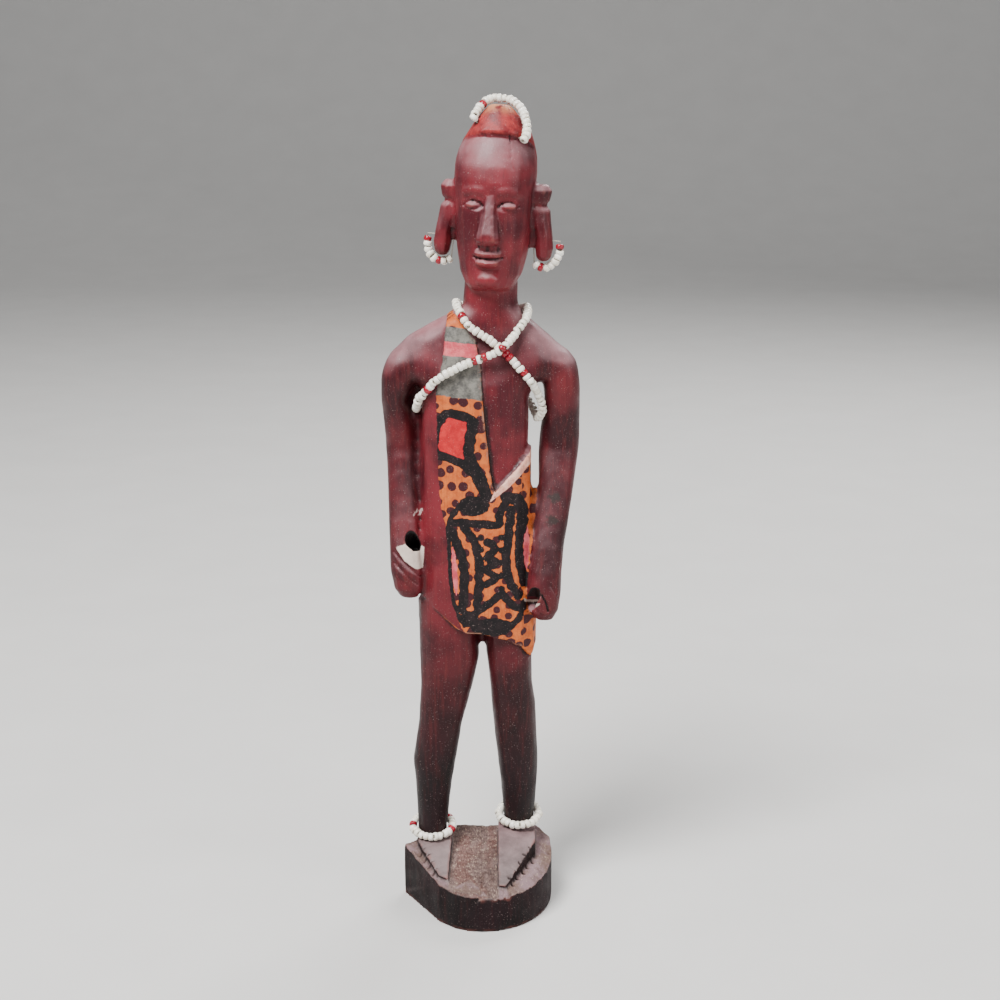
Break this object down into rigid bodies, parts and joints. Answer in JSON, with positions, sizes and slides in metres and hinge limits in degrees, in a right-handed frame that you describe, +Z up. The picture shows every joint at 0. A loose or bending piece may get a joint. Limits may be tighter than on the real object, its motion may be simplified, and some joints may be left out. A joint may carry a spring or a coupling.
{
  "type": "beaded wooden figurine",
  "caption": "Carved and stained wooden figurine of a standing man in a painted one-shoulder cloth, with glass bead strings, on an integral base.",
  "frame": {"origin": "on the underside of the base, below the axis of the figure's body", "axes": "+Z up along the figure, -Y the way it faces, +X to the viewer's right"},
  "size_m": [0.0593, 0.0469, 0.2474],
  "materials": {
    "stained_wood": "satin stain with a painted cloth pattern",
    "glass_beads": "opaque glass seed beads, gloss"
  },
  "bodies": {
    "root": {"carved_figure": "stained_wood", "hair_bead_string": "glass_beads", "chest_bead_string_left_shoulder": "glass_beads", "chest_bead_string_right_shoulder": "glass_beads", "earring_left": "glass_beads", "earring_right": "glass_beads", "anklet_left": "glass_beads", "anklet_right": "glass_beads"}
  },
  "joints": []
}
